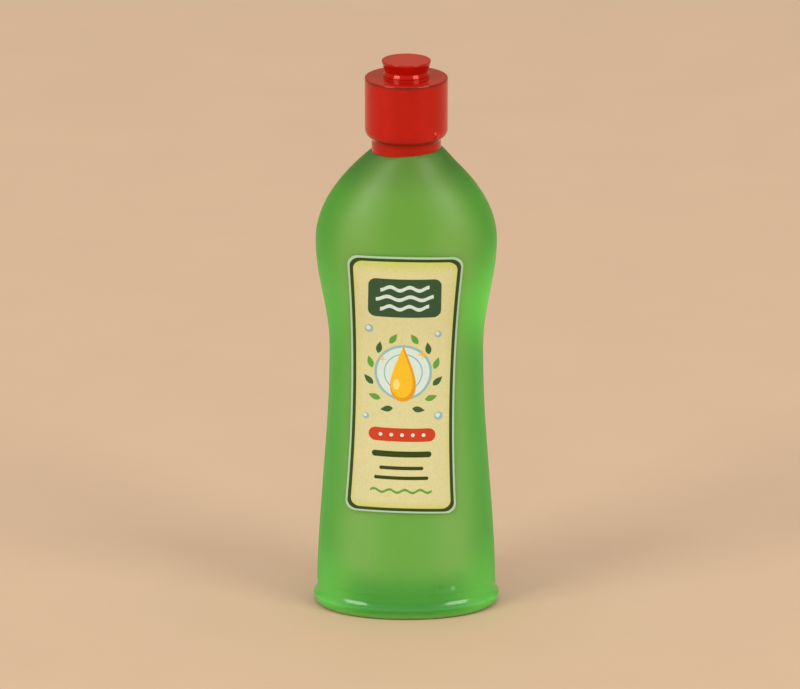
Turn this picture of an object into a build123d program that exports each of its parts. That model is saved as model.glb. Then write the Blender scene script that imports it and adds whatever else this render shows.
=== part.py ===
"""Doll's-house dish-soap bottle: a solid cast bottle, a moulded cap glued over its neck, and a paper label.

Millimetres, +Z up. The origin is the middle of the base, the label faces -Y.
"""

import math
import os

from build123d import *

# Bottle body: oval sections, widths along X and depths along Y, and the heights of its stretches
HEEL_WIDTH = 7.05
HEEL_DEPTH = 4.93
WAIST_WIDTH = 6.01
WAIST_DEPTH = 4.20
SHOULDER_WIDTH = 7.07
SHOULDER_DEPTH = 4.95
TABLE_TO_WAIST = 10.50
WAIST_TO_SHOULDER = 4.33
SHOULDER_TO_NECK = 3.59

# Foot: the rounded lip that the bottle stands on, and the flare that runs up into the wall
FOOT_LIP = 0.145
FOOT_HEIGHT = 0.42
FOOT_ROUND = 0.35
FLARE_HEIGHT = 0.56

# Neck plug, which carries the cap
PLUG_DIAMETER = 1.90
PLUG_HEIGHT = 1.60
PLUG_CHAMFER = 0.12

# Cap: a collar, a round body and a pull-up top, moulded in one piece
CAP_DIAMETER = 3.23
CAP_BODY_HEIGHT = 2.45
CAP_RIM_BEVEL = 0.08
COLLAR_INSET = 0.265
COLLAR_HEIGHT = 0.51
COLLAR_STEP = 0.03
BOWL_HEIGHT = 0.40
PULL_BASE_DIAMETER = 1.81
PULL_WAIST_DIAMETER = 1.70
PULL_TOP_DIAMETER = 1.95
PULL_BASE_HEIGHT = 0.11
PULL_SHOULDER_HEIGHT = 0.13
PULL_HEIGHT = 0.67
PULL_EDGE_ROUND = 0.04

# Fit of the cap on the bottle
NECK_LEDGE = 0.03
SOCKET_CLEARANCE = 0.02
SOCKET_HEADROOM = 0.10

# Label: a waisted sticker on the front, put on by hand a little low on its left and not quite upright
LABEL_HEIGHT = 10.44
LABEL_BELOW_WAIST = 1.00
LABEL_TOP_WIDTH = 4.56
LABEL_BOTTOM_WIDTH = 4.38
LABEL_WAIST_WIDTH = 4.02
LABEL_CORNER = 0.40
LABEL_ARCH = 0.10
LABEL_PAPER = 0.08
LABEL_GLUE = 0.01
LABEL_SHIFT = -0.13
LABEL_TILT = 1.1

# How many oval sections each stretch is drawn through
FLARE_SECTION_COUNT = 5
BODY_SECTION_COUNT = 6

# Levels and radii that follow from the sizes above
WAIST_LEVEL = TABLE_TO_WAIST
SHOULDER_LEVEL = WAIST_LEVEL + WAIST_TO_SHOULDER
NECK_LEVEL = SHOULDER_LEVEL + SHOULDER_TO_NECK
FLARE_TOP = FOOT_HEIGHT + FLARE_HEIGHT
COLLAR_RADIUS = CAP_DIAMETER / 2 - COLLAR_INSET
NECK_RADIUS = COLLAR_RADIUS + NECK_LEDGE
COLLAR_TOP = NECK_LEVEL + COLLAR_HEIGHT
CAP_RIM = COLLAR_TOP + CAP_BODY_HEIGHT
CAP_TOP = CAP_RIM + PULL_HEIGHT


def ease(start, end, share):
    """A value that leaves start and reaches end with no slope at either."""
    return start + (end - start) * (1 - math.cos(math.pi * share)) / 2


def half_size(z, heel, waist, shoulder):
    """Half the bottle's width or depth at a height, from its full size at the heel, waist and shoulder."""
    if z <= WAIST_LEVEL:
        return ease(heel, waist, z / TABLE_TO_WAIST) / 2
    if z <= SHOULDER_LEVEL:
        return ease(waist, shoulder, (z - WAIST_LEVEL) / WAIST_TO_SHOULDER) / 2
    share = (z - SHOULDER_LEVEL) / SHOULDER_TO_NECK
    return NECK_RADIUS + (shoulder / 2 - NECK_RADIUS) * (1 - share**2)


def oval(z, grow=0.0):
    """The bottle's section at a height, made larger all round by grow."""
    half_width = half_size(z, HEEL_WIDTH, WAIST_WIDTH, SHOULDER_WIDTH) + grow
    half_depth = half_size(z, HEEL_DEPTH, WAIST_DEPTH, SHOULDER_DEPTH) + grow
    return Pos(0, 0, z) * Ellipse(half_width, half_depth)


def levels(low, high, count):
    """Evenly spaced values from low to high."""
    return [low + (high - low) * step / (count - 1) for step in range(count)]


def body(grow=0.0):
    """The wall, the chest and the shoulder's dome, solid inside: three smooth skins that meet with no crease."""
    stops = [FLARE_TOP, WAIST_LEVEL, SHOULDER_LEVEL, NECK_LEVEL]
    stretches = []
    for low, high in zip(stops, stops[1:]):
        stretches.append(loft([oval(z, grow) for z in levels(low, high, BODY_SECTION_COUNT)]))
    wall, chest, dome = stretches
    return wall + chest + dome


def foot():
    """The lip on the table with its rounded lower edge, and the flare above it."""
    lip_face = oval(FLARE_TOP, FOOT_LIP)
    lip = extrude(Pos(0, 0, -FLARE_TOP) * lip_face, FOOT_HEIGHT)
    lip = fillet(lip.edges().group_by(Axis.Z)[0], FOOT_ROUND)
    sections = []
    for z in levels(FOOT_HEIGHT, FLARE_TOP, FLARE_SECTION_COUNT):
        left = (FLARE_TOP - z) / FLARE_HEIGHT
        sections.append(Pos(0, 0, z - FLARE_TOP) * oval(FLARE_TOP, FOOT_LIP * left**3))
    return lip + loft(sections)


def neck_plug():
    """The plug on top of the neck that the cap is glued over."""
    plug = Pos(0, 0, NECK_LEVEL) * extrude(Circle(PLUG_DIAMETER / 2), PLUG_HEIGHT)
    return chamfer(plug.edges().group_by(Axis.Z)[-1], PLUG_CHAMFER)


def make_bottle():
    return foot() + body() + neck_plug()


def make_cap():
    """Collar, body and pull-up top turned from one half section."""
    socket_radius = PLUG_DIAMETER / 2 + SOCKET_CLEARANCE
    socket_top = NECK_LEVEL + PLUG_HEIGHT + SOCKET_HEADROOM
    cap_radius = CAP_DIAMETER / 2
    bowl_top = COLLAR_TOP + BOWL_HEIGHT
    pull_shoulder = CAP_RIM + PULL_BASE_HEIGHT
    pull_waist = pull_shoulder + PULL_SHOULDER_HEIGHT
    with BuildSketch(Plane.XZ) as half:
        with BuildLine():
            Polyline(
                (socket_radius, NECK_LEVEL),
                (COLLAR_RADIUS, NECK_LEVEL),
                (COLLAR_RADIUS, COLLAR_TOP),
                (COLLAR_RADIUS + COLLAR_STEP, COLLAR_TOP),
            )
            TangentArc(
                (cap_radius, bowl_top),
                (COLLAR_RADIUS + COLLAR_STEP, COLLAR_TOP),
                tangent=(0, -1),
            )
            Polyline(
                (cap_radius, bowl_top),
                (cap_radius, CAP_RIM - CAP_RIM_BEVEL),
                (cap_radius - CAP_RIM_BEVEL, CAP_RIM),
                (PULL_BASE_DIAMETER / 2, CAP_RIM),
                (PULL_BASE_DIAMETER / 2, pull_shoulder),
                (PULL_WAIST_DIAMETER / 2, pull_waist),
            )
            FilletPolyline(
                (PULL_WAIST_DIAMETER / 2, pull_waist),
                (PULL_TOP_DIAMETER / 2, CAP_TOP),
                (0, CAP_TOP),
                radius=PULL_EDGE_ROUND,
            )
            Polyline(
                (0, CAP_TOP),
                (0, socket_top),
                (socket_radius, socket_top),
                (socket_radius, NECK_LEVEL),
            )
        make_face()
    return revolve(half.sketch, Axis.Z)


def label_outline():
    """The sticker's cut shape: hollow sides, arched top and bottom, rounded corners."""
    half_top = LABEL_TOP_WIDTH / 2
    half_waist = LABEL_WAIST_WIDTH / 2
    half_bottom = LABEL_BOTTOM_WIDTH / 2
    half_height = LABEL_HEIGHT / 2
    with BuildSketch() as cut:
        with BuildLine():
            low_left = (-half_bottom, -half_height)
            low_right = (half_bottom, -half_height)
            high_right = (half_top, half_height)
            high_left = (-half_top, half_height)
            ThreePointArc(low_left, (0, LABEL_ARCH - half_height), low_right)
            ThreePointArc(low_right, (half_waist, 0), high_right)
            ThreePointArc(high_right, (0, half_height + LABEL_ARCH), high_left)
            ThreePointArc(high_left, (-half_waist, 0), low_left)
        make_face()
        fillet(cut.vertices(), LABEL_CORNER)
    return cut.sketch


def make_label():
    """Paper of even thickness, cut from the skin just outside the bottle's front."""
    place = Pos(LABEL_SHIFT, 0, WAIST_LEVEL - LABEL_BELOW_WAIST) * Rot(0, LABEL_TILT, 0)
    cutter = extrude(place * (Plane.XZ * label_outline()), SHOULDER_DEPTH)
    return (body(LABEL_GLUE + LABEL_PAPER) & cutter) - body(LABEL_GLUE)


os.makedirs("parts", exist_ok=True)
for node, make in {"bottle": make_bottle, "cap": make_cap, "label": make_label}.items():
    export_step(make(), f"parts/{node}.step")
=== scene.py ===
"""Dresses the doll's-house dish-soap bottle: cast bottle, moulded cap, printed sticker and a plain stage.

Blender works in metres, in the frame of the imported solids: +Z up, the sticker faces -Y.
The sticker's print is drawn flat, in millimetres from the middle of the sticker.
"""

import math
from collections import namedtuple

import bpy
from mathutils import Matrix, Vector, noise
from mathutils.geometry import delaunay_2d_cdt


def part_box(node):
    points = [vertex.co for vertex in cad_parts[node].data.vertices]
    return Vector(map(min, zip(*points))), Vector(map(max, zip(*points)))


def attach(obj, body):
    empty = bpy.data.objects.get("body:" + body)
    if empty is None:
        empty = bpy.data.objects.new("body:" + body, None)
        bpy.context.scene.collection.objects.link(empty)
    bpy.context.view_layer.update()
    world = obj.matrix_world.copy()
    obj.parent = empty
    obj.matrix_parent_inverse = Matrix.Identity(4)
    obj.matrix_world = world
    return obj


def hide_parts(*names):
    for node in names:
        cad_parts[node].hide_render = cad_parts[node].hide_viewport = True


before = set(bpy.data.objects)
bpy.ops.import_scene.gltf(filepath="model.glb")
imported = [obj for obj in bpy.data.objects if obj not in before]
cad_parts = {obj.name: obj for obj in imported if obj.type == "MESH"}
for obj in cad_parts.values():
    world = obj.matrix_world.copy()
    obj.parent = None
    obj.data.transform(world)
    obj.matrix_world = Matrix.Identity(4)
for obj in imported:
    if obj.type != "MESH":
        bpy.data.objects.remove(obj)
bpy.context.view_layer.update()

bl_info = {
    "name": "Miniature dish-soap bottle",
    "version": (1, 0, 0),
    "blender": (4, 5, 0),
    "location": "3D View > Sidebar > Soap bottle",
    "description": "Makes the cast bottle, its cap and its printed sticker, and lights them on a plain stage",
    "category": "Object",
}

MM = 0.001
BOTTLE_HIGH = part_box("bottle")[1]
CAP_LOW, CAP_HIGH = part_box("cap")


def linear(red, green, blue):
    """A scene colour from screen values of 0 to 255."""
    shares = [value / 255 for value in (red, green, blue)]
    return tuple(s / 12.92 if s <= 0.04045 else ((s + 0.055) / 1.055) ** 2.4 for s in shares)


def length(name, description, default):
    """A property that holds a length in metres."""
    return bpy.props.FloatProperty(
        name=name, description=description, default=default, unit="LENGTH", precision=5
    )


def share(name, description, default):
    """A property that holds a plain share."""
    return bpy.props.FloatProperty(
        name=name, description=description, default=default, min=0.0, max=4.0, subtype="FACTOR"
    )


def angle(name, description, degrees):
    """A property that holds an angle."""
    return bpy.props.FloatProperty(
        name=name, description=description, default=math.radians(degrees), unit="ROTATION"
    )


def colour(name, description, screen):
    """A property that holds a colour, given by its screen values."""
    return bpy.props.FloatVectorProperty(
        name=name, description=description, default=linear(*screen), subtype="COLOR", min=0.0, max=1.0
    )


class BottleSizes(bpy.types.PropertyGroup):
    """Sizes, finish, and painted light and shade of the cast bottle."""

    heel_width: length("Heel width", "Width of the wall, run down to the table", 7.05 * MM)
    heel_depth: length("Heel depth", "Depth of the wall, run down to the table", 4.93 * MM)
    waist_width: length("Waist width", "Width at the narrowest place", 6.01 * MM)
    waist_depth: length("Waist depth", "Depth at the narrowest place", 4.20 * MM)
    shoulder_width: length("Shoulder width", "Width at the shoulder", 7.07 * MM)
    shoulder_depth: length("Shoulder depth", "Depth at the shoulder", 4.95 * MM)
    waist_level: length("Waist level", "Height of the narrowest place", 10.50 * MM)
    shoulder_level: length("Shoulder level", "Height of the widest place above the waist", 14.83 * MM)
    neck_level: length("Neck level", "Height of the ledge under the cap", CAP_LOW.z)
    neck_radius: length("Neck radius", "Radius of the ledge under the cap", 1.38 * MM)
    foot_lip: length("Foot lip", "How far the foot stands out from the wall", 0.145 * MM)
    foot_height: length("Foot height", "Height of the foot's lip", 0.40 * MM)
    foot_round: length("Foot round", "Radius of the foot's lower edge", 0.35 * MM)
    flare_height: length("Flare height", "Height of the flare from the lip to the wall", 0.58 * MM)
    plug_radius: length("Plug radius", "Radius of the plug inside the cap", 0.95 * MM)
    plug_top: length("Plug top", "Height of the plug's top", BOTTLE_HIGH.z)
    plug_chamfer: length("Plug chamfer", "Chamfer round the plug's top", 0.12 * MM)
    waviness: length("Waviness", "How far the cast wall strays in and out", 0.008 * MM)
    resin: colour("Resin", "Colour of the resin's wall", (111, 182, 80))
    # Painted shade: the resin turns to this darker colour towards the neck, under the cap.
    dome_painted_shade: colour("Dome", "Colour of the resin towards the neck", (105, 162, 51))
    # Painted light: this filter paints light shining through the thin sides and above the foot.
    side: colour("Side", "Filter over the resin at its thin sides and above the foot", (178, 241, 220))
    # Painted highlight: the pale bands down the front and back are a painted sheen.
    painted_sheen: colour("Haze", "Colour of the pale bands down the front and back", (215, 230, 172))
    # Painted highlight: the pits' pale specks are painted glints.
    painted_glint: colour("Speck", "Colour of the casting specks by the foot", (214, 255, 226))
    band: share("Band", "Strength of the pale bands", 0.08)
    # Painted light: the glow colour paints light gathering in the resin.
    glow: colour("Glow", "Colour of the resin where light gathers in it", (112, 242, 98))
    neck_shade: share("Neck shade", "How much of its light the resin keeps under the cap", 0.75)
    sole_shade: share("Sole shade", "How much of its light the resin keeps at the table", 0.40)
    depth: length("Light depth", "How far green light wanders inside the resin", 1.0 * MM)


class CapSizes(bpy.types.PropertyGroup):
    """Sizes, finish, and painted light and shade of the cap."""

    radius: length("Radius", "Radius of the cap's body", CAP_HIGH.x)
    foot_level: length("Foot level", "Height of the collar's lower edge", CAP_LOW.z)
    top_level: length("Top level", "Height of the pull-up top", CAP_HIGH.z)
    collar_inset: length("Collar inset", "How far the collar lies inside the body", 0.265 * MM)
    collar_height: length("Collar height", "Height of the collar", 0.51 * MM)
    collar_step: length("Collar step", "Width of the groove's ceiling above the collar", 0.03 * MM)
    bowl_height: length("Bowl height", "Height of the round under the body", 0.40 * MM)
    rim_level: length("Rim level", "Height of the body's upper rim", 21.38 * MM)
    rim_bevel: length("Rim bevel", "Width of the bevel round the rim", 0.08 * MM)
    pull_base: length("Pull base", "Radius of the pull-up top where it leaves the body", 0.905 * MM)
    pull_waist: length("Pull waist", "Radius of the pull-up top at its waist", 0.85 * MM)
    pull_top: length("Pull top", "Radius of the pull-up top's upper edge", 0.975 * MM)
    shoulder_level: length("Shoulder level", "Height of the pull-up top's lower shoulder", 21.49 * MM)
    waist_level: length("Waist level", "Height of the pull-up top's waist", 21.62 * MM)
    edge_round: length("Edge round", "Rounding of the pull-up top's upper edge", 0.085 * MM)
    socket_radius: length("Socket radius", "Radius of the socket over the plug", 0.97 * MM)
    socket_top: length("Socket top", "Height of the socket's end", 20.12 * MM)
    bead_turn: angle("Bead turn", "How far round from the front the moulding bead sits", 46)
    bead_level: length("Bead level", "Height of the moulding bead", 19.30 * MM)
    bead_radius: length("Bead radius", "Radius of the moulding bead", 0.16 * MM)
    red: colour("Red", "Colour of the cap", (180, 16, 2))
    # Painted shade: the deep red darkens the groove, the collar and the underside of the pull-up top's edge.
    deep: colour("Deep red", "Colour of the cap in its groove", (148, 12, 1))
    gleam: colour("Gleam", "Colour of the light that the cap's skin sends back", (255, 156, 144))
    worn: colour("Worn", "Colour of the worn line along the rim", (70, 34, 28))


class LabelSizes(bpy.types.PropertyGroup):
    """Sizes and inks of the sticker."""

    height: length("Height", "Height of the sticker", 10.44 * MM)
    top_width: length("Top width", "Width at the top", 4.56 * MM)
    middle_width: length("Middle width", "Width at mid-height", 4.02 * MM)
    bottom_width: length("Bottom width", "Width at the bottom", 4.38 * MM)
    corner: length("Corner", "Radius of the corners", 0.40 * MM)
    arch: length("Arch", "Rise of the top and bottom edges", 0.10 * MM)
    paper: length("Paper", "Thickness of the paper", 0.08 * MM)
    glue: length("Glue", "Thickness of the glue under the paper", 0.01 * MM)
    centre_level: length("Centre level", "Height of the sticker's middle", 9.50 * MM)
    shift: length("Shift", "How far the sticker sits to the right", -0.13 * MM)
    tilt: angle("Tilt", "How far the sticker leans to the right", 1.1)
    paper_white: colour("Paper white", "Bare paper at the cut edge", (176, 218, 186))
    cream: colour("Cream", "The printed field", (220, 222, 170))
    cream_edge: colour("Cream edge", "The printed field beside its border", (204, 217, 118))
    line: colour("Line", "Border line and small print", (40, 66, 4))
    panel: colour("Panel", "The dark green panel", (44, 84, 52))
    red: colour("Red", "The red band", (205, 62, 24))
    gold: colour("Gold", "The drop", (247, 200, 40))
    amber: colour("Amber", "The drop's shaded side", (228, 164, 26))
    shine: colour("Shine", "The drop's light", (253, 233, 140))
    leaf: colour("Leaf", "Light leaves", (100, 166, 62))
    leaf_dark: colour("Dark leaf", "Dark leaves", (52, 100, 54))
    sky: colour("Sky", "Bubbles and the plate's ring", (150, 196, 206))
    chalk: colour("Chalk", "Light marks", (216, 242, 240))


class StageSettings(bpy.types.PropertyGroup):
    """Camera, lamps and floor."""

    elevation: angle("Elevation", "How far the camera looks down", 17)
    distance: length("Distance", "Distance of the camera from the aim point", 300 * MM)
    aim_level: length("Aim level", "Height of the aim point", 11 * MM)
    lens: bpy.props.FloatProperty(
        name="Lens", description="Focal length", default=345.37, unit="CAMERA"
    )
    shift_x: bpy.props.FloatProperty(
        name="Shift across", description="Camera shift, as a share of the picture's width", default=-0.0079
    )
    shift_y: bpy.props.FloatProperty(
        name="Shift up", description="Camera shift, as a share of the picture's width", default=-0.0147
    )
    box_turn: angle("Soft box turn", "How far the soft boxes stand to each side", 52)
    box_rise: angle("Soft box rise", "How high the soft boxes stand", 26)
    box_distance: length("Soft box distance", "Distance of the soft boxes", 500 * MM)
    box_size: length("Soft box size", "Width and height of the soft boxes", 230 * MM)
    box_power: bpy.props.FloatProperty(
        name="Soft box power", description="Power of each soft box", default=1.05, unit="POWER"
    )
    box_balance: share("Soft box balance", "How much stronger the left soft box is than the mean", 0.06)
    box_colour: colour("Soft box colour", "Colour of the soft boxes' light", (255, 250, 240))
    sky: colour("Sky", "Light from overhead", (238, 238, 236))
    horizon: colour("Horizon", "Light from all round at the floor's level", (170, 142, 116))
    floor: colour("Floor", "Colour of the floor", (216, 186, 156))
    floor_size: length("Floor size", "Width of the floor", 4.0)


# Shapes shared by the pieces


def ease(start, end, way):
    """A value that leaves start and reaches end with no slope at either."""
    return start + (end - start) * (1 - math.cos(math.pi * way)) / 2


def smooth(low, high, value):
    """0 below low, 1 above high, and a smooth step between."""
    way = min(1.0, max(0.0, (value - low) / (high - low)))
    return way * way * (3 - 2 * way)


# A stretch with soft ends: where it starts, where it is full, where it begins to fade and where it ends
Stretch = namedtuple("Stretch", "start full fade end")


def within(stretch, value):
    """1 along a stretch, 0 outside it, and a smooth step at each of its ends."""
    return smooth(stretch.start, stretch.full, value) * (1 - smooth(stretch.fade, stretch.end, value))


def spread(low, high, count):
    """Evenly spaced values from low to high, both counted."""
    return [low + (high - low) * step / (count - 1) for step in range(count)]


def half_size(sizes, z, heel, waist, shoulder):
    """Half the bottle's width or depth at a height, from its full size at the heel, waist and shoulder."""
    if z <= sizes.waist_level:
        return ease(heel, waist, z / sizes.waist_level) / 2
    if z <= sizes.shoulder_level:
        way = (z - sizes.waist_level) / (sizes.shoulder_level - sizes.waist_level)
        return ease(waist, shoulder, way) / 2
    way = (z - sizes.shoulder_level) / (sizes.neck_level - sizes.shoulder_level)
    return sizes.neck_radius + (shoulder / 2 - sizes.neck_radius) * (1 - way**2)


def wall_halves(sizes, z):
    """Half the width and half the depth of the bottle's wall at a height."""
    half_width = half_size(sizes, z, sizes.heel_width, sizes.waist_width, sizes.shoulder_width)
    half_depth = half_size(sizes, z, sizes.heel_depth, sizes.waist_depth, sizes.shoulder_depth)
    return half_width, half_depth


NECK_TILT = 0.065 * MM
NECK_TILT_TURN = math.radians(5)
NECK_RIPPLE = 0.02 * MM
NECK_RIPPLE_TURN = math.radians(40)
CREASE_ANGLE = math.radians(40)


def neck_wave(turn):
    """How far the uneven joint of cap and neck lies above its level, by the turn from the front."""
    slope = NECK_TILT * (1 + math.sin(turn + NECK_TILT_TURN))
    return slope + NECK_RIPPLE * math.sin(2 * turn + NECK_RIPPLE_TURN)


def mesh_piece(name, points, faces, material, crease=CREASE_ANGLE):
    """A smooth mesh object with edges sharper than the crease angle kept sharp."""
    mesh = bpy.data.meshes.new(name)
    mesh.from_pydata(points, [], faces)
    mesh.validate()
    mesh.shade_smooth()
    mesh.set_sharp_from_angle(angle=crease)
    mesh.materials.append(material)
    piece = bpy.data.objects.new(name, mesh)
    bpy.context.scene.collection.objects.link(piece)
    return piece


def skin_faces(ring_count, segments):
    """Quads between neighbouring rings, with a fan at each end: the last two points are the two ends."""
    faces = []
    for ring in range(ring_count - 1):
        for step in range(segments):
            after = (step + 1) % segments
            low, high = ring * segments, (ring + 1) * segments
            faces.append((low + step, low + after, high + after, high + step))
    first_end = ring_count * segments
    last = (ring_count - 1) * segments
    for step in range(segments):
        after = (step + 1) % segments
        faces.append((first_end, after, step))
        faces.append((first_end + 1, last + step, last + after))
    return faces


def set_piece(piece, node):
    """Puts a piece in the place of its solid."""
    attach(piece, "root")
    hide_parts(node)


# Materials


Shader = namedtuple("Shader", "material nodes links main place")
PLAIN = (1.0, 1.0, 1.0)
NOISE_LOW = 0.3
NOISE_HIGH = 0.7
BUMP_DEPTH = 0.004 * MM
# The Mix node's colour sockets go by number, because its other kinds have the same socket names
MIX_AMOUNT = 0
MIX_FIRST = 6
MIX_SECOND = 7
MIX_RESULT = 2


def new_shader(name):
    """A material with its main shader and the surface's own coordinates."""
    material = bpy.data.materials.new(name)
    material.use_nodes = True
    nodes = material.node_tree.nodes
    links = material.node_tree.links
    place = nodes.new("ShaderNodeTexCoord").outputs["Object"]
    return Shader(material, nodes, links, nodes["Principled BSDF"], place)


def add_noise(shader, grain, detail=3.0, stretch=(1, 1, 1)):
    """Noise with grains of that length in metres, drawn out along the axes by stretch."""
    mapping = shader.nodes.new("ShaderNodeMapping")
    mapping.inputs["Scale"].default_value = [1 / (grain * s) for s in stretch]
    shader.links.new(shader.place, mapping.inputs["Vector"])
    texture = shader.nodes.new("ShaderNodeTexNoise")
    texture.inputs["Scale"].default_value = 1.0
    texture.inputs["Detail"].default_value = detail
    shader.links.new(mapping.outputs["Vector"], texture.inputs["Vector"])
    return texture.outputs["Fac"]


def add_range(shader, value, low, high, start=NOISE_LOW, end=NOISE_HIGH):
    """A value from start to end, turned into one from low to high."""
    node = shader.nodes.new("ShaderNodeMapRange")
    node.inputs["From Min"].default_value = start
    node.inputs["From Max"].default_value = end
    node.inputs["To Min"].default_value = low
    node.inputs["To Max"].default_value = high
    shader.links.new(value, node.inputs["Value"])
    return node.outputs["Result"]


def add_mix(shader, amount, first, second, blend="MIX"):
    """Two colours, mixed by an amount. Each is a socket or a plain colour."""
    node = shader.nodes.new("ShaderNodeMix")
    node.data_type = "RGBA"
    node.blend_type = blend
    put(shader, amount, node.inputs[MIX_AMOUNT])
    put(shader, first, node.inputs[MIX_FIRST])
    put(shader, second, node.inputs[MIX_SECOND])
    return node.outputs[MIX_RESULT]


def add_product(shader, first, second):
    """Two values multiplied."""
    node = shader.nodes.new("ShaderNodeMath")
    node.operation = "MULTIPLY"
    put(shader, first, node.inputs[0])
    put(shader, second, node.inputs[1])
    return node.outputs[0]


def put(shader, value, socket):
    """Links a socket to a value, or sets it."""
    if isinstance(value, bpy.types.NodeSocket):
        shader.links.new(value, socket)
    elif isinstance(value, (int, float)):
        socket.default_value = value
    else:
        socket.default_value = (*value, 1.0)


def add_bump(shader, height, depth, strength):
    """Bump of that depth in metres on the main shader."""
    node = shader.nodes.new("ShaderNodeBump")
    node.inputs["Strength"].default_value = strength
    node.inputs["Distance"].default_value = depth
    shader.links.new(height, node.inputs["Height"])
    shader.links.new(node.outputs["Normal"], shader.main.inputs["Normal"])


def add_layer(shader, name):
    """The colours that the mesh holds under that name."""
    node = shader.nodes.new("ShaderNodeVertexColor")
    node.layer_name = name
    return node.outputs["Color"]


def add_mottle(shader, tint, pattern, darkest):
    """A colour that a noise pattern darkens in places, down to a share of each of its parts."""
    shade = add_mix(shader, add_range(shader, pattern, 0, 1), darkest, PLAIN)
    return add_mix(shader, 1.0, tint, shade, "MULTIPLY")


CLOUD_GRAIN = 1.6 * MM
CLOUD_STRETCH = (1, 1, 2.2)
CLOUD_DARKEST = (0.95, 0.97, 0.92)
RESIN_WANDER = (0.50, 1.0, 0.45)
RESIN_IOR = 1.5
RESIN_SKIN_GRAIN = 0.5 * MM
RESIN_BUMP_GRAIN = 0.25 * MM
WALL_ROUGHNESS = (0.40, 0.48)
FOOT_ROUGHNESS_SHARE = 0.33
FOOT_GLOSS_END = (0.970 * MM, 0.985 * MM)


def resin_material(sizes):
    """Cloudy green casting resin: light wanders inside it, the wall is satin and the foot glossy."""
    shader = new_shader("green_resin")
    main = shader.main.inputs
    streaks = add_noise(shader, CLOUD_GRAIN, stretch=CLOUD_STRETCH)
    # The tint layer carries painted light and shade as well as the resin's colour.
    cloudy = add_mottle(shader, add_layer(shader, "tint"), streaks, CLOUD_DARKEST)
    shader.links.new(cloudy, main["Base Color"])
    main["Subsurface Weight"].default_value = 1.0
    main["Subsurface Radius"].default_value = RESIN_WANDER
    main["Subsurface Scale"].default_value = sizes.depth
    main["IOR"].default_value = RESIN_IOR
    height = shader.nodes.new("ShaderNodeSeparateXYZ")
    shader.links.new(shader.place, height.inputs[0])
    dull = add_range(shader, height.outputs["Z"], FOOT_ROUGHNESS_SHARE, 1.0, *FOOT_GLOSS_END)
    skin = add_range(shader, add_noise(shader, RESIN_SKIN_GRAIN, detail=5), *WALL_ROUGHNESS)
    shader.links.new(add_product(shader, dull, skin), main["Roughness"])
    add_bump(shader, add_noise(shader, RESIN_BUMP_GRAIN, detail=4), BUMP_DEPTH, strength=0.4)
    return shader.material


RED_PATCH_GRAIN = 0.8 * MM
RED_DARKEST = (0.88, 0.88, 0.88)
SCUFF_GRAIN = 0.12 * MM
SCUFF_RANGE = (0.45, 1.0)
CAP_IOR = 1.48
CAP_SPECULAR = 0.9
CAP_SKIN_GRAIN = 0.3 * MM
CAP_BUMP_GRAIN = 0.15 * MM
CAP_ROUGHNESS = (0.07, 0.12)


def red_material(sizes):
    """Glossy red plastic, a little patchy, worn dark along the rim."""
    shader = new_shader("red_plastic")
    main = shader.main.inputs
    patches = add_noise(shader, RED_PATCH_GRAIN, detail=4)
    # The tint layer carries painted shade and light as well as the cap's red.
    tint = add_mottle(shader, add_layer(shader, "tint"), patches, RED_DARKEST)
    wear = shader.nodes.new("ShaderNodeAttribute")
    wear.attribute_name = "wear"
    scuffs = add_range(shader, add_noise(shader, SCUFF_GRAIN, detail=5), *SCUFF_RANGE)
    tint = add_mix(shader, add_product(shader, wear.outputs["Fac"], scuffs), tint, sizes.worn)
    shader.links.new(tint, main["Base Color"])
    main["IOR"].default_value = CAP_IOR
    main["Specular IOR Level"].default_value = CAP_SPECULAR
    main["Specular Tint"].default_value = (*sizes.gleam, 1.0)
    skin = add_noise(shader, CAP_SKIN_GRAIN, detail=5)
    shader.links.new(add_range(shader, skin, *CAP_ROUGHNESS), main["Roughness"])
    add_bump(shader, add_noise(shader, CAP_BUMP_GRAIN, detail=4), BUMP_DEPTH, strength=0.6)
    return shader.material


FIBRE_GRAIN = 0.05 * MM
FIBRE_STRETCH = (1, 1, 2)
FIBRE_DARKEST = (0.90, 0.90, 0.90)
PAPER_IOR = 1.45
PAPER_ROUGHNESS = (0.40, 0.55)


def paper_material():
    """Printed paper: the ink of each patch, with fibres and a light sheen."""
    shader = new_shader("printed_paper")
    main = shader.main.inputs
    fibres = add_noise(shader, FIBRE_GRAIN, detail=6, stretch=FIBRE_STRETCH)
    printed = add_mottle(shader, add_layer(shader, "ink"), fibres, FIBRE_DARKEST)
    shader.links.new(printed, main["Base Color"])
    main["IOR"].default_value = PAPER_IOR
    shader.links.new(add_range(shader, fibres, *PAPER_ROUGHNESS), main["Roughness"])
    add_bump(shader, fibres, BUMP_DEPTH, strength=0.5)
    return shader.material


FLOOR_GRAIN = 6 * MM
FLOOR_DARKEST = (0.97, 0.97, 0.97)
FLOOR_ROUGHNESS = 0.7
FLOOR_BUMP_GRAIN = 0.4 * MM
FLOOR_BUMP_DEPTH = 0.01 * MM


def floor_material(stage):
    """A plain pale floor with the faintest mottling."""
    shader = new_shader("pale_floor")
    tint = add_mottle(shader, stage.floor, add_noise(shader, FLOOR_GRAIN, detail=4), FLOOR_DARKEST)
    shader.links.new(tint, shader.main.inputs["Base Color"])
    shader.main.inputs["Roughness"].default_value = FLOOR_ROUGHNESS
    add_bump(shader, add_noise(shader, FLOOR_BUMP_GRAIN, detail=4), FLOOR_BUMP_DEPTH, strength=0.4)
    return shader.material


# Bottle


Ring = namedtuple("Ring", "half_width half_depth z lift full")
# A pit in the casting: its place seen from the front, its radius and depth, and how much painted glint
# lightens it
Flaw = namedtuple("Flaw", "x z radius depth pale")
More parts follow.
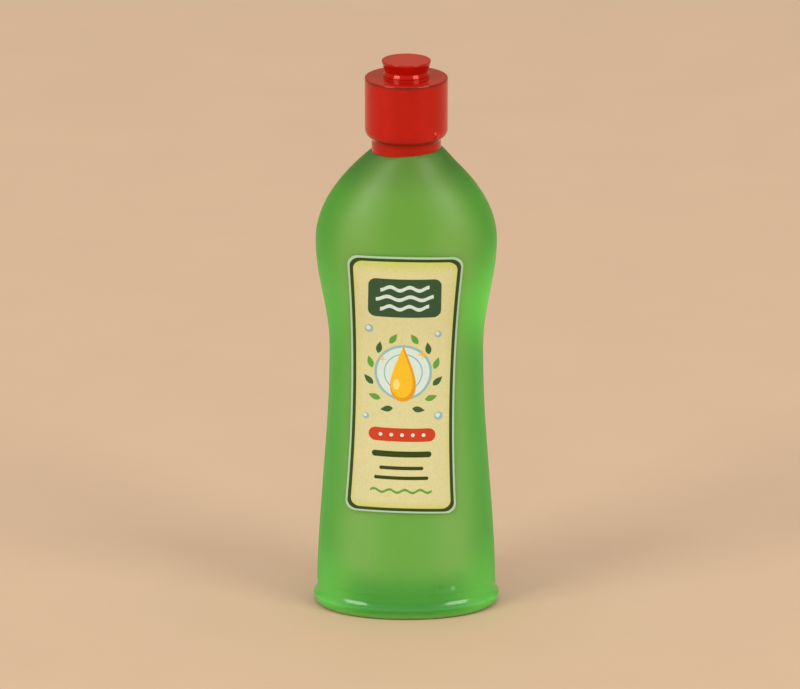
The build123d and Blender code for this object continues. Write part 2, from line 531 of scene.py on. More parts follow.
# A painted glow, where light gathers: its turn from the front and its width in degrees, its level and its
# reach
Glow = namedtuple("Glow", "turn width level reach strength")
BOTTLE_SEGMENTS = 360
BOTTLE_CREASE = math.radians(33)
ROUND_STEPS = 13
FRONT_ROUND = 0.08 * MM
FOOT_FULLNESS = 0.14
FLARE_STEPS = 14
FLARE_POWER = 4
FULLNESS_POWER = 2
FINE_STEPS = 16
WALL_STEPS = 150
FINE_TOP = 1.50 * MM
NECK_LIFT_REACH = 0.60 * MM
LEDGE_ROUND = 0.012 * MM
WAVE_LENGTH = 2.4 * MM
WAVE_FADE = 2 * MM
# Where the painted light and shade change: heights, or shares of the way across from the front, 0, to the
# side, 1
SIDE_START = 0.60
DOME_START = 12.5 * MM
FRONT_EDGE = (0.5, 0.9)
FLARE_STRETCH = Stretch(0.06 * MM, 0.32 * MM, 0.95 * MM, 2.2 * MM)
FLARE_SHADE = 0.05
LIP_STRETCH = Stretch(0.12 * MM, 0.34 * MM, 0.45 * MM, 0.60 * MM)
LIP_SHADE = 0.20
SHEEN_BAND_ACROSS = Stretch(0.15, 0.5, 0.55, 0.9)
SHEEN_BAND_STRETCH = Stretch(1.2 * MM, 2.4 * MM, 15.2 * MM, 16.8 * MM)
NECK_SHADE_REACH = 1.8 * MM
SOLE_SHADE_REACH = 0.08 * MM
PAINTED_GLOWS = (
    Glow(62, 44, 0.55 * MM, 2.8 * MM, 0.44),
    Glow(-62, 44, 0.55 * MM, 2.8 * MM, 0.40),
    Glow(88, 80, 12.6 * MM, 2.8 * MM, 0.78),
    Glow(-88, 80, 12.6 * MM, 2.8 * MM, 0.26),
)
CASTING_FLAWS = (
    Flaw(1.83 * MM, 1.17 * MM, 0.13 * MM, 0.02 * MM, 0.32),
    Flaw(1.36 * MM, 1.20 * MM, 0.20 * MM, 0.025 * MM, 0.0),
    Flaw(1.60 * MM, 1.12 * MM, 0.10 * MM, 0.02 * MM, 0.06),
    Flaw(2.04 * MM, 1.13 * MM, 0.09 * MM, 0.02 * MM, 0.06),
    Flaw(2.10 * MM, 0.90 * MM, 0.09 * MM, 0.02 * MM, 0.10),
)


def bottle_rings(sizes):
    """The bottle's sections from the table to the plug's top."""
    flare_top = sizes.foot_height + sizes.flare_height
    wide, deep = wall_halves(sizes, flare_top)
    rings = []
    lip = sizes.foot_lip
    for turn in spread(0, math.pi / 2, ROUND_STEPS):
        inset = 1 - math.sin(turn)
        half_width = wide + lip - sizes.foot_round * inset
        half_depth = deep + lip - FRONT_ROUND * inset
        rings.append(Ring(half_width, half_depth, sizes.foot_round * (1 - math.cos(turn)), 0, 1))
    for z in spread(sizes.foot_height, flare_top, FLARE_STEPS):
        left = (flare_top - z) / sizes.flare_height
        out = lip * left**FLARE_POWER
        rings.append(Ring(wide + out, deep + out, z, 0, left**FULLNESS_POWER))
    heights = spread(flare_top, FINE_TOP, FINE_STEPS)[1:]
    heights += spread(FINE_TOP, sizes.neck_level, WALL_STEPS)[1:]
    for z in heights:
        lift = smooth(sizes.neck_level - NECK_LIFT_REACH, sizes.neck_level, z)
        rings.append(Ring(*wall_halves(sizes, z), z, lift, 0))
    ledge = sizes.neck_radius - LEDGE_ROUND
    rings.append(Ring(ledge, ledge, sizes.neck_level + LEDGE_ROUND / 2, 1, 0))
    plug = sizes.plug_radius
    rings.append(Ring(plug, plug, sizes.neck_level + LEDGE_ROUND / 2, 1, 0))
    rings.append(Ring(plug, plug, sizes.plug_top - sizes.plug_chamfer, 0, 0))
    rings.append(Ring(plug - sizes.plug_chamfer, plug - sizes.plug_chamfer, sizes.plug_top, 0, 0))
    return rings


def fuller(turn, full):
    """How far out a section lies at a turn, as a share of a plain oval: the foot's corners are fuller."""
    power = 2 + FOOT_FULLNESS * full
    return (abs(math.sin(turn)) ** power + abs(math.cos(turn)) ** power) ** (-1 / power)


def flaw_share(flaw, x, y, z):
    """How much of a casting flaw is at a place: all at its middle, none past its edge or on the back."""
    away = math.hypot(x - flaw.x, z - flaw.z) / flaw.radius
    return (1 - away**2) ** 2 if away < 1 and y < 0 else 0.0


def wall_stray(sizes, x, y, z):
    """How far the cast wall stands out from its true oval at a place."""
    wavy = Stretch(sizes.foot_height, WAVE_FADE, sizes.neck_level - WAVE_FADE, sizes.neck_level)
    stray = sizes.waviness * within(wavy, z) * noise.noise(Vector((x, y, z)) / WAVE_LENGTH)
    return stray - sum(flaw.depth * flaw_share(flaw, x, y, z) for flaw in CASTING_FLAWS)


def mixed(first, second, amount):
    """A colour between two others."""
    return [a + (b - a) * amount for a, b in zip(first, second)]


def glow_share(glow, turn, z):
    """How much of a painted glow is at a place: all of it at its middle, none past its width and reach."""
    away = abs(math.sin((turn - math.radians(glow.turn)) / 2)) / math.sin(math.radians(glow.width) / 2)
    climb = abs(z - glow.level) / glow.reach
    return glow.strength * (1 - smooth(0, 1, math.hypot(away, climb)))


def resin_colour_and_painted_light(sizes, turn, z):
    """The resin's colour with painted light and shade: light through the thin sides and foot, sheen bands,
    glows where light gathers, and shade at the neck, table, flare and lip.
    """
    # Painted shade: darker towards the neck, under the cap.
    tint = mixed(sizes.resin, sizes.dome_painted_shade, smooth(DOME_START, sizes.neck_level, z))
    across = abs(math.sin(turn))
    flare = within(FLARE_STRETCH, z)
    lip = within(LIP_STRETCH, z) * (1 - across**2)
    # Painted light shining through the thin resin at the sides and above the foot.
    thin = max(smooth(SIDE_START, 1.0, across), flare * (1 - smooth(*FRONT_EDGE, across)))
    tint = [value * (1 - thin * (1 - part)) for value, part in zip(tint, sizes.side)]
    # Painted highlight: pale sheen bands down the front and back.
    band = within(SHEEN_BAND_ACROSS, across) * within(SHEEN_BAND_STRETCH, z)
    tint = mixed(tint, sizes.painted_sheen, sizes.band * band)
    # Painted light: glows where light gathers at the foot's corners and the chest's sides.
    for glow in PAINTED_GLOWS:
        tint = mixed(tint, sizes.glow, glow_share(glow, turn, z))
    # Painted shade under the cap, at the table, over the flare and at the lip's crest.
    near_neck = smooth(sizes.neck_level - NECK_SHADE_REACH, sizes.neck_level, z)
    shade = sizes.neck_shade ** (near_neck * (1 + across**2))
    shade *= sizes.sole_shade ** (1 - smooth(0, SOLE_SHADE_REACH, z))
    shade *= (1 - FLARE_SHADE * flare) * (1 - LIP_SHADE * lip)
    return [value * shade for value in tint]


def cast_bottle(sizes):
    """The bottle as one closed casting."""
    rings = bottle_rings(sizes)
    points, tints = [], []
    for ring in rings:
        for step in range(BOTTLE_SEGMENTS):
            turn = 2 * math.pi * step / BOTTLE_SEGMENTS
            reach = fuller(turn, ring.full)
            x = ring.half_width * reach * math.sin(turn)
            y = -ring.half_depth * reach * math.cos(turn)
            out = Vector((x / ring.half_width**2, y / ring.half_depth**2, 0)).normalized()
            stray = wall_stray(sizes, x, y, ring.z)
            z = ring.z + ring.lift * neck_wave(turn)
            points.append((x + out.x * stray, y + out.y * stray, z))
            tint = resin_colour_and_painted_light(sizes, turn, ring.z)
            # Painted highlight: the pale flaws carry a painted glint.
            for flaw in CASTING_FLAWS:
                tint = mixed(tint, sizes.painted_glint, flaw.pale * flaw_share(flaw, x, y, z))
            tints += [*tint, 1.0]
    points += [(0, 0, 0), (0, 0, sizes.plug_top)]
    tints += 2 * [*sizes.resin, 1.0]
    faces = skin_faces(len(rings), BOTTLE_SEGMENTS)
    piece = mesh_piece("bottle_casting", points, faces, resin_material(sizes), crease=BOTTLE_CREASE)
    # The tint layer holds the resin's colour with its painted light and shade.
    piece.data.color_attributes.new("tint", "FLOAT_COLOR", "POINT").data.foreach_set("color", tints)
    return piece


class CastBottle(bpy.types.Operator):
    """Cast the waisted green bottle."""

    bl_idname = "soap_bottle.cast_bottle"
    bl_label = "Cast bottle"

    def execute(self, context):
        piece = cast_bottle(context.scene.soap_bottle)
        set_piece(piece, "bottle")
        return {"FINISHED"}


# Cap


CapPoint = namedtuple("CapPoint", "radius z lift")
CAP_SEGMENTS = 288
BOWL_STEPS = 16
COLLAR_STEPS = 10
CORNER_STEPS = 7
SUPPORT = 0.4
WALL_FINE_STEPS = 22
WALL_COARSE_STEPS = 14
JOINT_GAP = 0.004 * MM
COLLAR_EDGE = 0.02 * MM
COLLAR_EDGE_END = 0.08 * MM
PULL_CREASE = 0.02 * MM
GROOVE_ROUND = 0.09 * MM
GROOVE_SKIP = 7
BEAD_HEIGHT_SHARE = 0.45
WEAR_REACH = 0.09 * MM
GROOVE_SHADE_REACH = 0.28 * MM
# How the red changes: painted shade on the collar and under the top's edge, painted light on the wall's sides
# and top
COLLAR_PAINTED_SHADE = 0.25
UNDER_EDGE_PAINTED_SHADE = 0.25
WALL_LIT_SIDES = (0.15, 0.55)
WALL_PAINTED_LIGHT = 0.11
TOP_PAINTED_LIGHT = 0.20
TOP_PAINTED_LIGHT_EDGE = 0.3
TOP_MIDDLE = 0.15
SOCKET_MIDDLE = 0.2


def rounded(points, cuts):
    """An open line with its inner corners rounded: each is cut back by its own length along both sides."""
    line = [points[0]]
    for before, corner, after, cut in zip(points, points[1:], points[2:], cuts):
        start = corner + (before - corner).normalized() * cut
        end = corner + (after - corner).normalized() * cut
        line += [start.lerp(before, SUPPORT * cut / (before - start).length)]
        ways = spread(0, 1, CORNER_STEPS)
        line += [start.lerp(corner, way).lerp(corner.lerp(end, way), way) for way in ways]
        line += [end.lerp(after, SUPPORT * cut / (after - end).length)]
    return line + [points[-1]]


def bowl_points(sizes, collar_top):
    """The round under the cap's body, from the groove up to the wall, which it meets with no crease."""
    across = sizes.collar_inset - sizes.collar_step
    radius = (across**2 + sizes.bowl_height**2) / (2 * across)
    sweep = math.asin(sizes.bowl_height / radius)
    mid = sizes.radius - radius
    level = collar_top + sizes.bowl_height
    turns = [sweep * (way - 1) for way in spread(0, 1, BOWL_STEPS)]
    return [Vector((mid + radius * math.cos(t), level + radius * math.sin(t))) for t in turns]


def cap_profile(sizes):
    """The cap's half section, from the socket's mouth out and up over the cap to the middle of its top."""
    collar = sizes.radius - sizes.collar_inset
    foot = sizes.foot_level + JOINT_GAP + LEDGE_ROUND / 2
    collar_top = sizes.foot_level + sizes.collar_height
    mouth = [(sizes.socket_radius, foot), (collar, foot), (collar, foot + COLLAR_EDGE_END)]
    mouth = [Vector(p) for p in mouth]
    bowl = bowl_points(sizes, collar_top)
    groove = [Vector((collar, collar_top - 2 * GROOVE_ROUND)), Vector((collar, collar_top))]
    groove.append(bowl[GROOVE_SKIP])
    points = rounded(mouth, [COLLAR_EDGE])
    points += [Vector((collar, z)) for z in spread(mouth[-1].y, groove[0].y, COLLAR_STEPS)[1:]]
    points += rounded(groove, [GROOVE_ROUND])[1:-1]
    fine_top = sizes.bead_level + 2 * sizes.bead_radius
    wall_top = sizes.rim_level - 2 * sizes.rim_bevel
    wall = spread(bowl[-1].y, fine_top, WALL_FINE_STEPS)[1:]
    wall += spread(fine_top, wall_top, WALL_COARSE_STEPS)[1:]
    points += bowl[GROOVE_SKIP:] + [Vector((sizes.radius, z)) for z in wall]
    upper = [
        (sizes.radius, wall_top),
        (sizes.radius, sizes.rim_level),
        (sizes.pull_base, sizes.rim_level),
        (sizes.pull_base, sizes.shoulder_level),
        (sizes.pull_waist, sizes.waist_level),
        (sizes.pull_top, sizes.top_level),
        (TOP_MIDDLE * sizes.pull_top, sizes.top_level),
    ]
    cuts = [sizes.rim_bevel, PULL_CREASE, PULL_CREASE, PULL_CREASE, sizes.edge_round]
    points += rounded([Vector(p) for p in upper], cuts)[1:]
    return [CapPoint(p.x, p.y, 1 - smooth(foot, collar_top, p.y)) for p in points]


def bead_height(sizes, turn, z):
    """How far the moulding bead stands out from the wall at a place."""
    around = (turn - sizes.bead_turn) * sizes.radius
    away = math.hypot(around, z - sizes.bead_level) / sizes.bead_radius
    return BEAD_HEIGHT_SHARE * sizes.bead_radius * (1 - away**2) if away < 1 else 0.0


def cap_red_and_painted_light(sizes, turn, z):
    """The cap's red at a place, with painted shade in the groove, on the collar and under the top's edge, and
    painted light on the wall's sides and top.
    """
    groove_level = sizes.foot_level + sizes.collar_height
    # Painted shade: deep red in the groove, on the collar and under the pull-up top's edge.
    groove = 1 - smooth(0, GROOVE_SHADE_REACH, abs(z - groove_level))
    collar = COLLAR_PAINTED_SHADE * (1 - smooth(groove_level - GROOVE_SHADE_REACH, groove_level, z))
    under_edge_shade = UNDER_EDGE_PAINTED_SHADE * smooth(sizes.waist_level, sizes.waist_level + sizes.edge_round, z)
    under_edge_shade *= 1 - smooth(sizes.top_level - sizes.edge_round, sizes.top_level, z)
    tint = mixed(sizes.red, sizes.deep, max(groove, collar, under_edge_shade))
    # Painted light: the wall's sides and the pull-up top's upper face are lightened.
    wall = smooth(*WALL_LIT_SIDES, abs(math.sin(turn)))
    wall *= 1 - smooth(sizes.rim_level - sizes.rim_bevel, sizes.rim_level, z)
    top = smooth(sizes.top_level - TOP_PAINTED_LIGHT_EDGE * sizes.edge_round, sizes.top_level, z)
    return [value * (1 + max(WALL_PAINTED_LIGHT * wall, TOP_PAINTED_LIGHT * top)) for value in tint]


def mould_cap(sizes):
    """The cap as one closed moulding, with its socket."""
    rows = [CapPoint(part * sizes.socket_radius, sizes.socket_top, 0) for part in (SOCKET_MIDDLE, 1)]
    rows += cap_profile(sizes)
    wall_start = sizes.radius - sizes.collar_inset / 2
    points, tints, wear = [], [], []
    for row in rows:
        rim_away = math.hypot(row.radius - sizes.radius, row.z - (sizes.rim_level - sizes.rim_bevel))
        for step in range(CAP_SEGMENTS):
            turn = 2 * math.pi * step / CAP_SEGMENTS
            radius = row.radius
            if row.radius > wall_start:
                radius += bead_height(sizes, turn, row.z)
            z = row.z + row.lift * neck_wave(turn)
            points.append((radius * math.sin(turn), -radius * math.cos(turn), z))
            tints += [*cap_red_and_painted_light(sizes, turn, row.z), 1.0]
            wear.append(1 - smooth(0, WEAR_REACH, rim_away))
    points += [(0, 0, sizes.socket_top), (0, 0, sizes.top_level)]
    tints += 2 * [*sizes.red, 1.0]
    wear += [0.0, 0.0]
    piece = mesh_piece("cap_moulding", points, skin_faces(len(rows), CAP_SEGMENTS), red_material(sizes))
    # The tint layer holds the cap's red with its painted shade and light.
    piece.data.color_attributes.new("tint", "FLOAT_COLOR", "POINT").data.foreach_set("color", tints)
    piece.data.attributes.new("wear", "FLOAT", "POINT").data.foreach_set("value", wear)
    return piece


class MouldCap(bpy.types.Operator):
    """Mould the round red cap with its pull-up top."""

    bl_idname = "soap_bottle.mould_cap"
    bl_label = "Mould cap"

    def execute(self, context):
        piece = mould_cap(context.scene.soap_cap)
        set_piece(piece, "cap")
        return {"FINISHED"}


# Sticker print, in millimetres from the sticker's middle


Patch = namedtuple("Patch", "outline ink")
# Where a patch stands in the list: the field is the second, and bare paper is none of them
FIELD = 1
BARE = -1
CURVE_STEP = 0.06
CURVE_POINTS = 10
GRID_STEP = 0.16
CUT_BORDER = 0.07
BORDER_LINE = 0.12
CORNER_SHRINK = 0.3
FIELD_WIDEN = 0.09
END_TINT = 0.42
SIDE_TINT = 0.22
SIDE_TINT_SHARE = 0.45


def turn_points(mid, radius, first=0.0, last=360.0, tall=1.0):
    """Points round a circle or along part of it, in degrees, made taller or flatter by tall."""
    count = max(CURVE_POINTS, int(abs(math.radians(last - first)) * radius / CURVE_STEP))
    closed = abs(last - first) >= 360
    turns = spread(first, last, count + 1)[: count if closed else count + 1]
    turns = [math.radians(t) for t in turns]
    return [(mid[0] + radius * math.cos(t), mid[1] + tall * radius * math.sin(t)) for t in turns]


def soft_box(half_width, half_height, radius, mid=(0.0, 0.0)):
    """A rectangle with round corners, with points along its sides."""
    right, high = half_width - radius, half_height - radius
    corners = [(right, high, 0), (-right, high, 90), (-right, -high, 180), (right, -high, 270)]
    points = []
    for x, y, first in corners:
        points += turn_points((mid[0] + x, mid[1] + y), radius, first, first + 90)
    return add_side_points(points)


def add_side_points(points):
    """The same closed outline with points along its long sides."""
    filled = []
    for (ax, ay), (bx, by) in zip(points, points[1:] + points[:1]):
        count = max(1, int(math.hypot(bx - ax, by - ay) / GRID_STEP))
        filled += [(ax + (bx - ax) * k / count, ay + (by - ay) * k / count) for k in range(count)]
    return filled


def sticker_outline(sizes, inset):
    """The sticker's cut shape, or a line that far inside it: hollow sides, arched ends, round corners."""
    widths = (sizes.top_width, sizes.middle_width, sizes.bottom_width)
    top, middle, bottom = (width / 2 / MM for width in widths)
    half_height = sizes.height / 2 / MM
    radius = sizes.corner / MM - CORNER_SHRINK * inset
    outline = []
    for u, v in soft_box(middle - inset, half_height - inset, radius):
        way = v / half_height
        widen = 1 + ((top + bottom) / 2 / middle - 1) * way**2 + (top - bottom) / 2 / middle * way
        outline.append((u * widen, v + sizes.arch / MM * (1 - (u / middle) ** 2)))
    return outline


DROP_STEPS = 61
DROP_TAPER = 1.6
DROP_BELLY = 1.12


def drop(mid, width, height):
    """A falling drop with a round belly."""
    points = []
    for turn in spread(0, 2 * math.pi, DROP_STEPS)[:-1]:
        taper = math.sin(turn / 2) ** DROP_TAPER
        u = mid[0] + width / 2 * math.sin(turn) * taper * DROP_BELLY
        points.append((u, mid[1] + height / 2 * math.cos(turn)))
    return points


LEAF_STEPS = 12
LEAF_BELLY = 0.8


def leaf(base, tip, width):
    """A pointed leaf between two points."""
    dx, dy = tip[0] - base[0], tip[1] - base[1]
    span = math.hypot(dx, dy)
    points = []
    for side in (1, -1):
        ways = spread(0, 1, LEAF_STEPS) if side == 1 else spread(1, 0, LEAF_STEPS)
        for way in ways[:-1]:
            off = side * width / 2 * math.sin(math.pi * way**LEAF_BELLY)
            points.append((base[0] + dx * way - dy / span * off, base[1] + dy * way + dx / span * off))
    return points


RIPPLE_STEPS = 49


def ripple(level, half_length, rise, thickness, waves):
    """A wavy stripe across the print."""
    ways = spread(-half_length, half_length, RIPPLE_STEPS)
    upper = [(u, level + rise * math.sin(math.pi * waves * u / half_length) + thickness / 2) for u in ways]
    return upper + [(u, v - thickness) for u, v in reversed(upper)]


SPARKLE_POINTS = 4
SPARKLE_HOLLOW = 0.22


def sparkle(mid, reach):
    """A four-pointed sparkle."""
    points = []
    for step in range(2 * SPARKLE_POINTS):
        radius = reach if step % 2 == 0 else SPARKLE_HOLLOW * reach
        turn = math.radians(180 / SPARKLE_POINTS * step)
        points.append((mid[0] + radius * math.cos(turn), mid[1] + radius * math.sin(turn)))
    return points


def water_panel(sizes):
    """The dark panel at the top with light ripples."""
    panel = soft_box(half_width=1.42, half_height=0.80, radius=0.30, mid=(0.0, 3.62))
    patches = [Patch(panel, sizes.panel)]
    for level, half_length in ((4.02, 0.95), (3.62, 1.12), (3.22, 0.95)):
        wave = ripple(level, half_length, rise=0.07, thickness=0.15, waves=2.5)
        patches.append(Patch(wave, sizes.chalk))
    return patches


SPRIG_LEAVES = 6
SPRIG_START = -72
SPRIG_TURN = 27
SPRIG_LEVEL = 0.45
SPRIG_HALF_WIDTH = 1.22
SPRIG_HALF_HEIGHT = 1.42
LEAF_LEAN = math.radians(62)
LEAF_LENGTH = 0.50
LEAF_WIDTH = 0.24


def sprig(sizes, side):
    """A curved row of small leaves on one side of the plate."""
    patches = []
    for step in range(SPRIG_LEAVES):
        turn = math.radians(SPRIG_START + SPRIG_TURN * step)
        lean = turn + LEAF_LEAN
        base = (side * SPRIG_HALF_WIDTH * math.cos(turn), SPRIG_LEVEL + SPRIG_HALF_HEIGHT * math.sin(turn))
        tip = (base[0] + side * LEAF_LENGTH * math.cos(lean), base[1] + LEAF_LENGTH * math.sin(lean))
        ink = sizes.leaf if step % 2 else sizes.leaf_dark
        patches.append(Patch(leaf(base, tip, LEAF_WIDTH), ink))
    return patches


PLATE_MID = (0.0, 0.55)


def picture(sizes):
    """A plate between two sprigs, with a golden drop before it."""
    patches = sprig(sizes, 1) + sprig(sizes, -1)
    for radius, ink in ((1.12, sizes.sky), (1.02, sizes.chalk), (0.76, sizes.sky), (0.71, sizes.chalk)):
        patches.append(Patch(turn_points(PLATE_MID, radius), ink))
    patches.append(Patch(drop(mid=(0.0, 0.52), width=1.30, height=2.30), sizes.amber))
    patches.append(Patch(drop(mid=(-0.05, 0.56), width=1.10, height=2.06), sizes.gold))
    patches.append(Patch(turn_points(mid=(-0.26, 0.06), radius=0.13, tall=1.7), sizes.shine))
    for mid, reach in (((0.74, 1.28), 0.24), ((-0.80, 1.05), 0.17)):
        patches.append(Patch(sparkle(mid, reach), sizes.gold))
    return patches


BUBBLE_PLACES = (
    ((-1.36, 2.28), 0.17),
    ((1.33, 2.10), 0.14),
    ((-1.42, -1.30), 0.13),
    ((1.40, -1.22), 0.17),
)
BUBBLE_LIGHT = 0.55
BUBBLE_LIGHT_SHIFT = 0.03


def bubbles(sizes):
    """Small pale bubbles round the picture, each with its light."""
    patches = []
    for mid, radius in BUBBLE_PLACES:
        light = (mid[0] - BUBBLE_LIGHT_SHIFT, mid[1] + BUBBLE_LIGHT_SHIFT)
        patches.append(Patch(turn_points(mid, radius), sizes.sky))
        patches.append(Patch(turn_points(light, BUBBLE_LIGHT * radius), sizes.chalk))
    return patches


BAND_LEVEL = -1.98
DOT_RADIUS = 0.075
DOT_PLACES = spread(-0.84, 0.84, 5)
Rule = namedtuple("Rule", "level half_width half_height")
RULES = (Rule(-2.76, 1.16, 0.12), Rule(-3.32, 0.86, 0.07), Rule(-3.72, 1.06, 0.07))
RULE_ROUND = 0.95


def bands(sizes):
    """The red band under the picture and the dark rules at the bottom."""
    band = soft_box(half_width=1.30, half_height=0.27, radius=0.265, mid=(0.0, BAND_LEVEL))
    patches = [Patch(band, sizes.red)]
    patches += [Patch(turn_points((u, BAND_LEVEL), DOT_RADIUS), sizes.chalk) for u in DOT_PLACES]
    for rule in RULES:
        radius = RULE_ROUND * rule.half_height
        bar = soft_box(rule.half_width, rule.half_height, radius, mid=(0.0, rule.level))
        patches.append(Patch(bar, sizes.line))
    wave = ripple(level=-4.25, half_length=1.2, rise=0.06, thickness=0.10, waves=4)
    return patches + [Patch(wave, sizes.leaf)]


def print_patches(sizes):
    """Every patch of the print, each over those before it: the border, the field and the artwork."""
    patches = [Patch(sticker_outline(sizes, CUT_BORDER), sizes.line)]
    patches.append(Patch(sticker_outline(sizes, CUT_BORDER + BORDER_LINE), sizes.cream))
    return patches + water_panel(sizes) + picture(sizes) + bubbles(sizes) + bands(sizes)


def inside(u, v, outline):
    """Whether a place lies inside a closed outline."""
    crossed = False
    for (au, av), (bu, bv) in zip(outline, outline[1:] + outline[:1]):
        if (av > v) != (bv > v) and u < au + (v - av) / (bv - av) * (bu - au):
            crossed = not crossed
    return crossed


def box_of(outline):
    """The lowest and highest values of an outline."""
    us, vs = [p[0] for p in outline], [p[1] for p in outline]
    return min(us), max(us), min(vs), max(vs)


def grid_points(outline):
    """Evenly spread places inside the sticker, so that the paper can bend."""
    left, right, low, high = box_of(outline)
    columns = [left + GRID_STEP * k for k in range(int((right - left) / GRID_STEP) + 1)]
    rows = [low + GRID_STEP * k for k in range(int((high - low) / GRID_STEP) + 1)]
    return [(u, v) for u in columns for v in rows if inside(u, v, outline)]


ALL_TRIANGLES = 0
CUT_TOLERANCE = 1e-5


def flat_print(sizes):
    """The sticker cut into triangles along the print: places, triangles and each triangle's patch."""
    cut = sticker_outline(sizes, 0.0)
    patches = print_patches(sizes)
    places, edges = [], []
    for outline in [cut] + [patch.outline for patch in patches]:
        first = len(places)
        places += outline
        edges += [(first + k, first + (k + 1) % len(outline)) for k in range(len(outline))]
    places += grid_points(sticker_outline(sizes, 0.5 * CUT_BORDER))
    places = [Vector(p) for p in places]
    made, _, cuts, *_ = delaunay_2d_cdt(places, edges, [], ALL_TRIANGLES, CUT_TOLERANCE)
    places = [(p.x, p.y) for p in made]
    boxes = [box_of(patch.outline) for patch in patches]
    triangles, found = [], []
    for triangle in cuts:
        u = sum(places[k][0] for k in triangle) / 3
        v = sum(places[k][1] for k in triangle) / 3
        if not inside(u, v, cut):
            continue
        top = BARE
        for index, (left, right, low, high) in enumerate(boxes):
            if left < u < right and low < v < high and inside(u, v, patches[index].outline):
                top = index
        triangles.append(tuple(triangle))
        found.append(top)
    return places, triangles, found, patches


def field_tint(sizes, u, v):
    """The printed field's colour at a place: yellower beside the border."""
    half_width, half_height = sizes.middle_width / 2 / MM, sizes.height / 2 / MM
    way = v / half_height
    side = half_width * (1 + FIELD_WIDEN * way**2) - abs(u)
    end = half_height - abs(v)
    border = CUT_BORDER + BORDER_LINE
    near_side = SIDE_TINT_SHARE * (1 - smooth(border, border + SIDE_TINT, side))
    near_end = 1 - smooth(border, border + END_TINT, end)
    return mixed(sizes.cream, sizes.cream_edge, max(near_side, near_end))


def sticker_point(sizes, bottle, place, grow):
    """Where a place of the print lies on the bottle, that far out from the wall."""
    u, v = place[0] * MM, place[1] * MM
    lean = sizes.tilt
    x = sizes.shift + u * math.cos(lean) + v * math.sin(lean)
    z = sizes.centre_level - u * math.sin(lean) + v * math.cos(lean)
    half_width, half_depth = wall_halves(bottle, z)
    return x, -(half_depth + grow) * math.sqrt(1 - (x / (half_width + grow)) ** 2), z


def open_edges(triangles):
    """The directed edges that only one triangle has."""
    edges = {(t[k], t[(k + 1) % 3]) for t in triangles for k in range(3)}
    return [edge for edge in edges if (edge[1], edge[0]) not in edges]


def stick_label(sizes, bottle):
    """The sticker with its printed face, its back and its cut edge."""
    places, triangles, found, patches = flat_print(sizes)
    used = sorted({k for triangle in triangles for k in triangle})
    order = {old: new for new, old in enumerate(used)}
    places = [places[k] for k in used]
    triangles = [tuple(order[k] for k in triangle) for triangle in triangles]
    count = len(places)
    points = [sticker_point(sizes, bottle, p, sizes.glue + sizes.paper) for p in places]
    points += [sticker_point(sizes, bottle, p, sizes.glue) for p in places]
    faces = list(triangles)
    faces += [tuple(k + count for k in reversed(triangle)) for triangle in triangles]
    faces += [(b, a, a + count, b + count) for a, b in sorted(open_edges(triangles))]
    piece = mesh_piece("label_sticker", points, faces, paper_material())
    ink = piece.data.color_attributes.new("ink", "FLOAT_COLOR", "CORNER")
    for polygon in piece.data.polygons:
        patch = found[polygon.index] if polygon.index < len(triangles) else BARE
        for loop in polygon.loop_indices:
            tint = sizes.paper_white if patch == BARE else patches[patch].ink
            if patch == FIELD:
                tint = field_tint(sizes, *places[piece.data.loops[loop].vertex_index])
            ink.data[loop].color = (*tint, 1.0)
    return piece


class StickLabel(bpy.types.Operator):
    """Print the sticker and lay it on the bottle's front."""

    bl_idname = "soap_bottle.stick_label"
    bl_label = "Stick label"

    def execute(self, context):
        piece = stick_label(context.scene.soap_label, context.scene.soap_bottle)
        set_piece(piece, "label")
        return {"FINISHED"}


# Stage


SKY_LOW = 0.30
SKY_HIGH = 0.75
CLIP_SHARE = 0.1


def add_floor(stage):
    """The plain floor that the bottle stands on."""
    half = stage.floor_size / 2
    corners = [(-half, -half, 0), (half, -half, 0), (half, half, 0), (-half, half, 0)]
    mesh_piece("floor", corners, [(0, 1, 2, 3)], floor_material(stage))


def add_soft_box(stage, name, side):
    """A large square lamp to one side of the camera, turned to the bottle."""
    lamp = bpy.data.lights.new(name, "AREA")
    lamp.shape = "SQUARE"
    lamp.size = stage.box_size
    lamp.energy = stage.box_power * (1 - side * stage.box_balance)
    lamp.color = stage.box_colour
    holder = bpy.data.objects.new(name, lamp)
    turn, rise = side * stage.box_turn, stage.box_rise
    away = Vector((math.sin(turn) * math.cos(rise), -math.cos(turn) * math.cos(rise), math.sin(rise)))
    holder.location = Vector((0, 0, stage.aim_level)) + away * stage.box_distance
    holder.rotation_euler = away.to_track_quat("Z", "Y").to_euler()
    holder.visible_camera = False
    bpy.context.scene.collection.objects.link(holder)


def add_world(stage):
    """Soft light from all round, with the floor's colour as the background."""
    world = bpy.data.worlds.new("studio")
    bpy.context.scene.world = world
    world.use_nodes = True
    nodes, links = world.node_tree.nodes, world.node_tree.links
    light = nodes["Background"]
    shader = Shader(None, nodes, links, light, nodes.new("ShaderNodeTexCoord").outputs["Generated"])
    height = nodes.new("ShaderNodeSeparateXYZ")
    links.new(shader.place, height.inputs[0])
    rise = add_range(shader, height.outputs["Z"], 0, 1, SKY_LOW, SKY_HIGH)
    links.new(add_mix(shader, rise, stage.horizon, stage.sky), light.inputs["Color"])
    backdrop = nodes.new("ShaderNodeBackground")
    backdrop.inputs["Color"].default_value = (*stage.floor, 1.0)
    mix = nodes.new("ShaderNodeMixShader")
    rays = nodes.new("ShaderNodeLightPath")
    links.new(rays.outputs["Is Camera Ray"], mix.inputs[0])
    links.new(light.outputs[0], mix.inputs[1])
    links.new(backdrop.outputs[0], mix.inputs[2])
    links.new(mix.outputs[0], nodes["World Output"].inputs["Surface"])


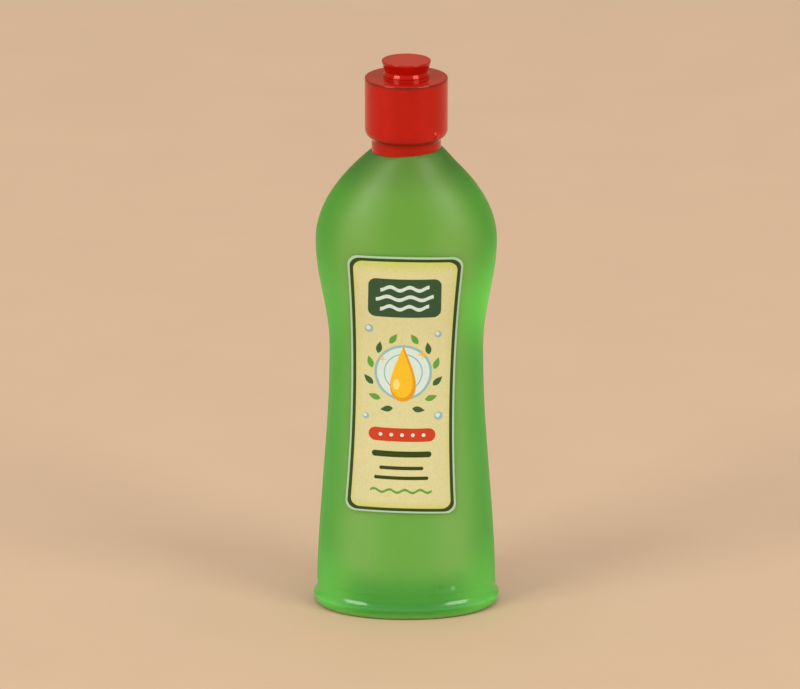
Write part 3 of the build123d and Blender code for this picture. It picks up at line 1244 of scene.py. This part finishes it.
def add_camera(stage):
    """The camera in front, looking a little down."""
    data = bpy.data.cameras.new("camera")
    data.lens = stage.lens
    data.shift_x = stage.shift_x
    data.shift_y = stage.shift_y
    data.clip_start = CLIP_SHARE * stage.distance
    camera = bpy.data.objects.new("camera", data)
    back = Vector((0, -math.cos(stage.elevation), math.sin(stage.elevation)))
    camera.location = Vector((0, 0, stage.aim_level)) + back * stage.distance
    camera.rotation_euler = back.to_track_quat("Z", "Y").to_euler()
    bpy.context.scene.collection.objects.link(camera)
    bpy.context.scene.camera = camera


class SetStage(bpy.types.Operator):
    """Set up the floor, the lamps and the camera."""

    bl_idname = "soap_bottle.set_stage"
    bl_label = "Set stage"

    def execute(self, context):
        stage = context.scene.soap_stage
        add_floor(stage)
        add_soft_box(stage, "soft_box_left", -1)
        add_soft_box(stage, "soft_box_right", 1)
        add_world(stage)
        add_camera(stage)
        context.scene.view_settings.view_transform = "Standard"
        return {"FINISHED"}


class SoapBottlePanel(bpy.types.Panel):
    """Sizes, colours and steps of the miniature soap bottle."""

    bl_idname = "VIEW3D_PT_soap_bottle"
    bl_label = "Miniature dish-soap bottle"
    bl_space_type = "VIEW_3D"
    bl_region_type = "UI"
    bl_category = "Soap bottle"

    def draw(self, context):
        for place, operator in STEPS.items():
            group = getattr(context.scene, place)
            column = self.layout.box().column()
            column.operator(operator.bl_idname)
            for name in type(group).__annotations__:
                column.prop(group, name)


GROUPS = {
    "soap_bottle": BottleSizes,
    "soap_cap": CapSizes,
    "soap_label": LabelSizes,
    "soap_stage": StageSettings,
}
STEPS = {
    "soap_bottle": CastBottle,
    "soap_cap": MouldCap,
    "soap_label": StickLabel,
    "soap_stage": SetStage,
}


def register():
    for place, group in GROUPS.items():
        bpy.utils.register_class(group)
        setattr(bpy.types.Scene, place, bpy.props.PointerProperty(type=group))
    for operator in STEPS.values():
        bpy.utils.register_class(operator)
    bpy.utils.register_class(SoapBottlePanel)


def unregister():
    bpy.utils.unregister_class(SoapBottlePanel)
    for operator in STEPS.values():
        bpy.utils.unregister_class(operator)
    for place, group in GROUPS.items():
        delattr(bpy.types.Scene, place)
        bpy.utils.unregister_class(group)


def main():
    """Makes the bottle and its stage."""
    register()
    bpy.ops.soap_bottle.cast_bottle()
    bpy.ops.soap_bottle.mould_cap()
    bpy.ops.soap_bottle.stick_label()
    bpy.ops.soap_bottle.set_stage()
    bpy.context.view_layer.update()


if __name__ == "__main__":
    main()
